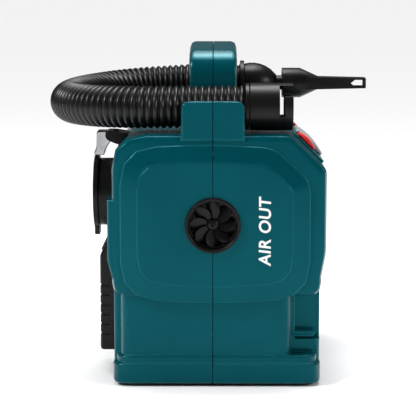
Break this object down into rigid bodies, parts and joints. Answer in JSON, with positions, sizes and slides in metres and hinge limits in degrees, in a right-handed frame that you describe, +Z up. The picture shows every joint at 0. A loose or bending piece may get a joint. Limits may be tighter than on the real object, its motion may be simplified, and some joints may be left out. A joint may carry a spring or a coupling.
{
  "type": "shop vacuum",
  "caption": "Portable box-shaped cordless wet and dry vacuum with a blower port, a carrying handle and a corrugated hose stored round it.",
  "frame": {"origin": "middle of the machine's footprint on the floor, measured without the hose", "axes": "+Z up; -Y is the blower-port side; -X is the side with the suction inlet and the battery; +X is the side with the sloping controls"},
  "size_m": [0.3738, 0.3314, 0.3692],
  "materials": {
    "teal_plastic": "fine moulded texture, satin",
    "black_plastic": "satin moulded",
    "black_rubber": "matt",
    "hose_plastic": "corrugated, soft sheen",
    "polished_steel": "polished",
    "zinc_steel": "zinc plated",
    "copper": "bare",
    "red_plastic": "semi-gloss",
    "grey_plastic": "fine textured",
    "smoke_plastic": "smoked, glossy",
    "filter_paper": "pleated paper",
    "board_green": "solder mask"
  },
  "bodies": {
    "housing": {"shell_left": "teal_plastic", "shell_right": "teal_plastic", "port_ring": "black_plastic", "guide_vanes": "black_plastic", "air_duct": "black_plastic", "motor_end_bell": "black_plastic", "fan_housing": "black_plastic", "bulkhead": "black_plastic", "filter_base": "black_plastic", "filter_cap": "black_plastic", "inlet_block": "black_plastic", "inlet_duct": "black_plastic", "clasp_bracket": "black_plastic", "battery_bay": "black_plastic", "button_bezel": "black_plastic", "foot_1": "black_rubber", "foot_2": "black_rubber", "foot_3": "black_rubber", "foot_4": "black_rubber", "bin_seal": "black_rubber", "inlet_seal": "black_rubber", "motor_mount_front": "black_rubber", "motor_mount_rear": "black_rubber", "battery_lead": "black_rubber", "motor_lead": "black_rubber", "clasp_pin": "polished_steel", "bearing_front": "polished_steel", "bearing_rear": "polished_steel", "housing_screw_1": "zinc_steel", "housing_screw_2": "zinc_steel", "housing_screw_3": "zinc_steel", "housing_screw_4": "zinc_steel", "housing_screw_5": "zinc_steel", "hub_screw": "zinc_steel", "motor_can": "zinc_steel", "stator": "copper", "terminal_block": "copper", "control_panel": "grey_plastic", "filter_media": "filter_paper", "circuit_board": "board_green"},
    "rotor": {"rotor_core": "zinc_steel", "motor_shaft": "polished_steel", "impeller": "black_plastic"},
    "bin": {"dust_bin": "smoke_plastic", "bin_door": "teal_plastic", "bin_handle": "black_plastic"},
    "inlet_cap": {"inlet_cap": "black_plastic"},
    "clasp": {"cap_clasp": "polished_steel"},
    "battery": {"battery_case": "black_plastic"},
    "battery_button": {"battery_button": "black_rubber"},
    "power_switch": {"power_switch": "red_plastic"},
    "mode_button": {"mode_button": "red_plastic"},
    "hose": {"hose": "hose_plastic", "cuff_collar": "black_plastic", "end_collar": "black_plastic", "end_dome": "black_plastic"},
    "hose_cuff": {"hose_cuff": "black_plastic"},
    "crevice_tool": {"crevice_tool": "black_plastic"}
  },
  "joints": [
    {"name": "fan_spin", "type": "hinge", "parent": "housing", "child": "rotor", "pos_m": [0.005, -0.0586, 0.179], "axis": [0, 1, 0], "continuous": true},
    {"name": "bin_pull", "type": "slide", "parent": "housing", "child": "bin", "axis": [0, 1, 0], "range_m": [0, 0.13]},
    {"name": "inlet_cap_pull", "type": "slide", "parent": "housing", "child": "inlet_cap", "axis": [-1, 0, 0], "range_m": [0, 0.03]},
    {"name": "clasp_swing", "type": "hinge", "parent": "housing", "child": "clasp", "pos_m": [-0.1105, -0.0686, 0.269], "axis": [0, 1, 0], "range_deg": [0, 32]},
    {"name": "battery_slide", "type": "slide", "parent": "housing", "child": "battery", "axis": [-1, 0, 0], "range_m": [0, 0.06]},
    {"name": "battery_button_press", "type": "slide", "parent": "battery", "child": "battery_button", "axis": [0.9008, 0, -0.4342], "range_m": [0, 0.0018], "stiffness_N_per_m": 600},
    {"name": "power_switch_slide", "type": "slide", "parent": "housing", "child": "power_switch", "axis": [0.7162, 0, -0.6979], "range_m": [0, 0.007]},
    {"name": "mode_button_press", "type": "slide", "parent": "housing", "child": "mode_button", "axis": [-0.6979, 0, -0.7162], "range_m": [0, 0.0016], "stiffness_N_per_m": 400},
    {"name": "hose_lift", "type": "slide", "parent": "housing", "child": "hose", "axis": [0, 0, 1], "range_m": [0, 0.1]},
    {"name": "cuff_swivel", "type": "hinge", "parent": "hose", "child": "hose_cuff", "pos_m": [0.065, -0.1186, 0.3035], "axis": [1, 0, 0], "continuous": true},
    {"name": "crevice_tool_pull", "type": "slide", "parent": "hose", "child": "crevice_tool", "axis": [1, 0, 0], "range_m": [0, 0.03]}
  ]
}
